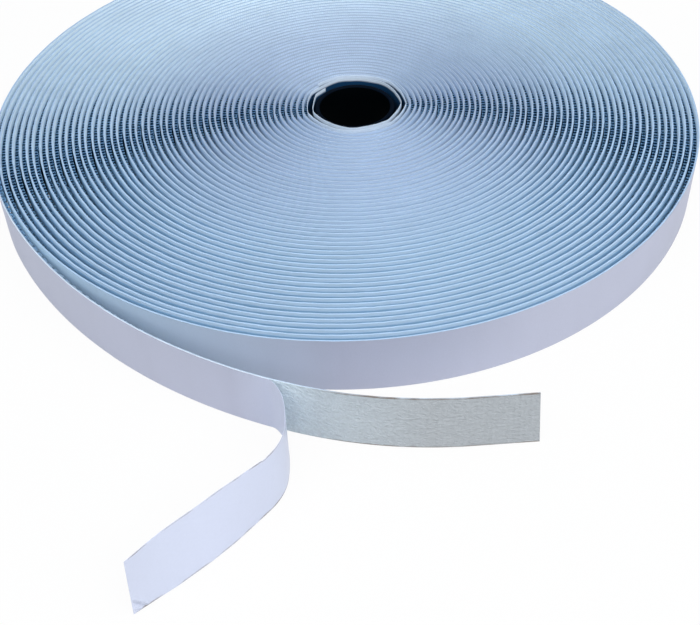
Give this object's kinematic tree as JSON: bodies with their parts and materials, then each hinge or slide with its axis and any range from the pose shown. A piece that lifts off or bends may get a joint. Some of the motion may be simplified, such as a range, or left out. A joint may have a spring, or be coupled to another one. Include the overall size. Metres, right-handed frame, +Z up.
{
  "type": "hook and loop tape roll",
  "caption": "Flat wound roll of self-adhesive hook tape on a tube core, with its outer turn lifted and the release liner peeled back from the bare end of the tape.",
  "frame": {"origin": "middle of the base of the whole part's box, loose ends included, on the surface that it lies on", "axes": "+Z up, along the core's axis; +Y from the peeled liner towards the roll; +X to the right seen from the peeled liner"},
  "size_m": [0.2482, 0.3202, 0.02],
  "materials": {
    "core": "matte",
    "hook_tape": "matte",
    "adhesive": "satin",
    "liner": "satin"
  },
  "bodies": {
    "roll": {"core_tube": "core", "tape_winding": "hook_tape", "liner_winding": "liner"},
    "lifted_turn": {"lifted_tape": "hook_tape", "lifted_adhesive": "adhesive", "lifted_liner": "liner"},
    "tape_end": {"end_tape": "hook_tape", "end_adhesive": "adhesive"},
    "peeled_liner": {"liner_flap": "liner"},
    "flap_end": {"liner_flap_end": "liner"}
  },
  "joints": [
    {"name": "turn_lift", "type": "hinge", "parent": "roll", "child": "lifted_turn", "pos_m": [-0.11017, -0.02148, 0.01], "axis": [0, 0, 1], "range_deg": [-35, 0]},
    {"name": "tape_end_bend", "type": "hinge", "parent": "lifted_turn", "child": "tape_end", "pos_m": [-0.02229, -0.0992, 0.01], "axis": [0, 0, 1], "range_deg": [-12, 15]},
    {"name": "liner_peel", "type": "hinge", "parent": "lifted_turn", "child": "peeled_liner", "pos_m": [-0.02279, -0.10018, 0.01], "axis": [0, 0, 1], "range_deg": [-40, 10]},
    {"name": "flap_end_bend", "type": "hinge", "parent": "peeled_liner", "child": "flap_end", "pos_m": [-0.02396, -0.12881, 0.01], "axis": [0, 0, 1], "range_deg": [-35, 35]}
  ]
}
